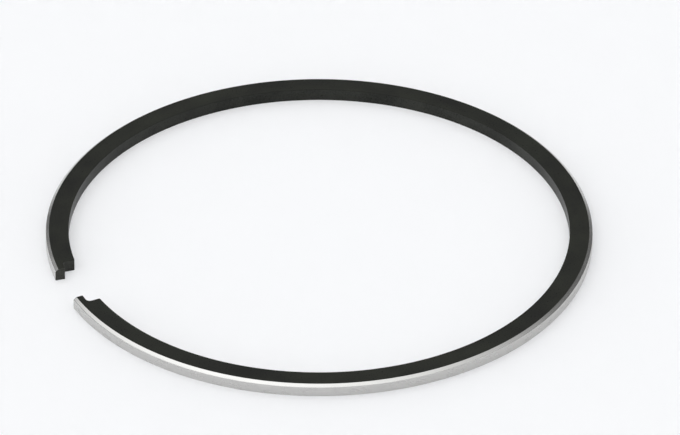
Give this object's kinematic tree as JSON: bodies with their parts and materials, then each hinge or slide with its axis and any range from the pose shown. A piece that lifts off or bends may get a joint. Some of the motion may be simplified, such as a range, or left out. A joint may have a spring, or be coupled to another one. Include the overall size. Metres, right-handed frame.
{
  "type": "piston ring",
  "caption": "Split piston ring in its free, sprung-open shape, with a bevelled upper outer edge and notched ends; it seals a piston against its cylinder wall.",
  "frame": {"origin": "centre of the ring's wide arc, on the plane of its lower side", "axes": "+Z along the ring's axis towards its bevelled upper edge, -X through the middle of the end gap"},
  "size_m": [0.0512, 0.0514, 0.0012],
  "materials": {
    "black_coated_iron": "black phosphate coat, satin, with the running face and its bevel ground bright"
  },
  "bodies": {
    "root": {"piston_ring": "black_coated_iron"}
  },
  "joints": []
}
